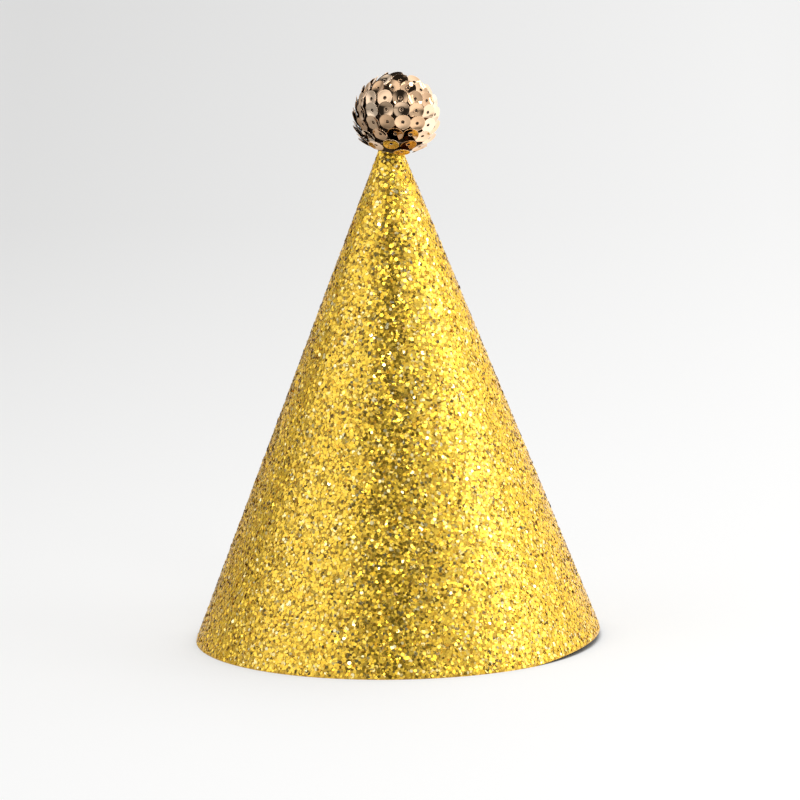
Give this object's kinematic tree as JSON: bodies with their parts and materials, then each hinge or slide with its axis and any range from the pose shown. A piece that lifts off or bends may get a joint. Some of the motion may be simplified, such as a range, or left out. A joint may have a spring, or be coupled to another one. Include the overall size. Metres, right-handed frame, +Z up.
{
  "type": "party hat",
  "caption": "Small rolled cone party hat of gold glitter card with a taped lap seam, topped by a foam ball wound with a strand of champagne gold sequins.",
  "frame": {"origin": "centre of the rim, on the surface that the hat stands on", "axes": "+Z up the cone to the ball, -Y towards the front, +X to the viewer's right; the lap seam is at the back, towards +Y"},
  "size_m": [0.1292, 0.1309, 0.1834],
  "materials": {
    "card": "matte",
    "glitter": "gold metallised flakes in a clear binder",
    "tape": "gloss",
    "glue": "satin",
    "foam": null,
    "thread": "matte",
    "sequin": "champagne gold metallised foil"
  },
  "bodies": {
    "hat": {"cone_card": "card", "glitter_coat": "glitter", "seam_tape": "tape", "tip_glue": "glue", "foam_core": "foam", "sequin_thread": "thread", "crown_sequin": "sequin", "sequin_run_1": "sequin", "sequin_run_2": "sequin", "sequin_run_3": "sequin", "sequin_run_4": "sequin", "sequin_run_5": "sequin", "sequin_run_6": "sequin", "sequin_run_7": "sequin"},
    "loose_sequin_1": {"loose_sequin_1": "sequin"},
    "loose_sequin_2": {"loose_sequin_2": "sequin"},
    "loose_sequin_3": {"loose_sequin_3": "sequin"},
    "loose_sequin_4": {"loose_sequin_4": "sequin"},
    "loose_sequin_5": {"loose_sequin_5": "sequin"},
    "loose_sequin_6": {"loose_sequin_6": "sequin"}
  },
  "joints": [
    {"name": "loose_sequin_1_rock", "type": "hinge", "parent": "hat", "child": "loose_sequin_1", "pos_m": [0.009, -0.00032, 0.15923], "axis": [-0.3634, 0.8891, -0.2783], "range_deg": [0, 12]},
    {"name": "loose_sequin_2_rock", "type": "hinge", "parent": "hat", "child": "loose_sequin_2", "pos_m": [0.00894, -0.00543, 0.16075], "axis": [0.2768, 0.8981, -0.3418], "range_deg": [0, 12]},
    {"name": "loose_sequin_3_rock", "type": "hinge", "parent": "hat", "child": "loose_sequin_3", "pos_m": [0.00559, -0.00934, 0.16216], "axis": [0.8181, 0.514, -0.2578], "range_deg": [0, 12]},
    {"name": "loose_sequin_4_rock", "type": "hinge", "parent": "hat", "child": "loose_sequin_4", "pos_m": [0.00033, -0.01023, 0.16269], "axis": [0.9904, -0.13, -0.0476], "range_deg": [0, 12]},
    {"name": "loose_sequin_5_rock", "type": "hinge", "parent": "hat", "child": "loose_sequin_5", "pos_m": [-0.00425, -0.00756, 0.16189], "axis": [0.6505, -0.7336, 0.1966], "range_deg": [0, 12]},
    {"name": "loose_sequin_6_rock", "type": "hinge", "parent": "hat", "child": "loose_sequin_6", "pos_m": [0.00355, -0.00742, 0.15965], "axis": [0.822, 0.5086, -0.2562], "range_deg": [0, 12]}
  ]
}
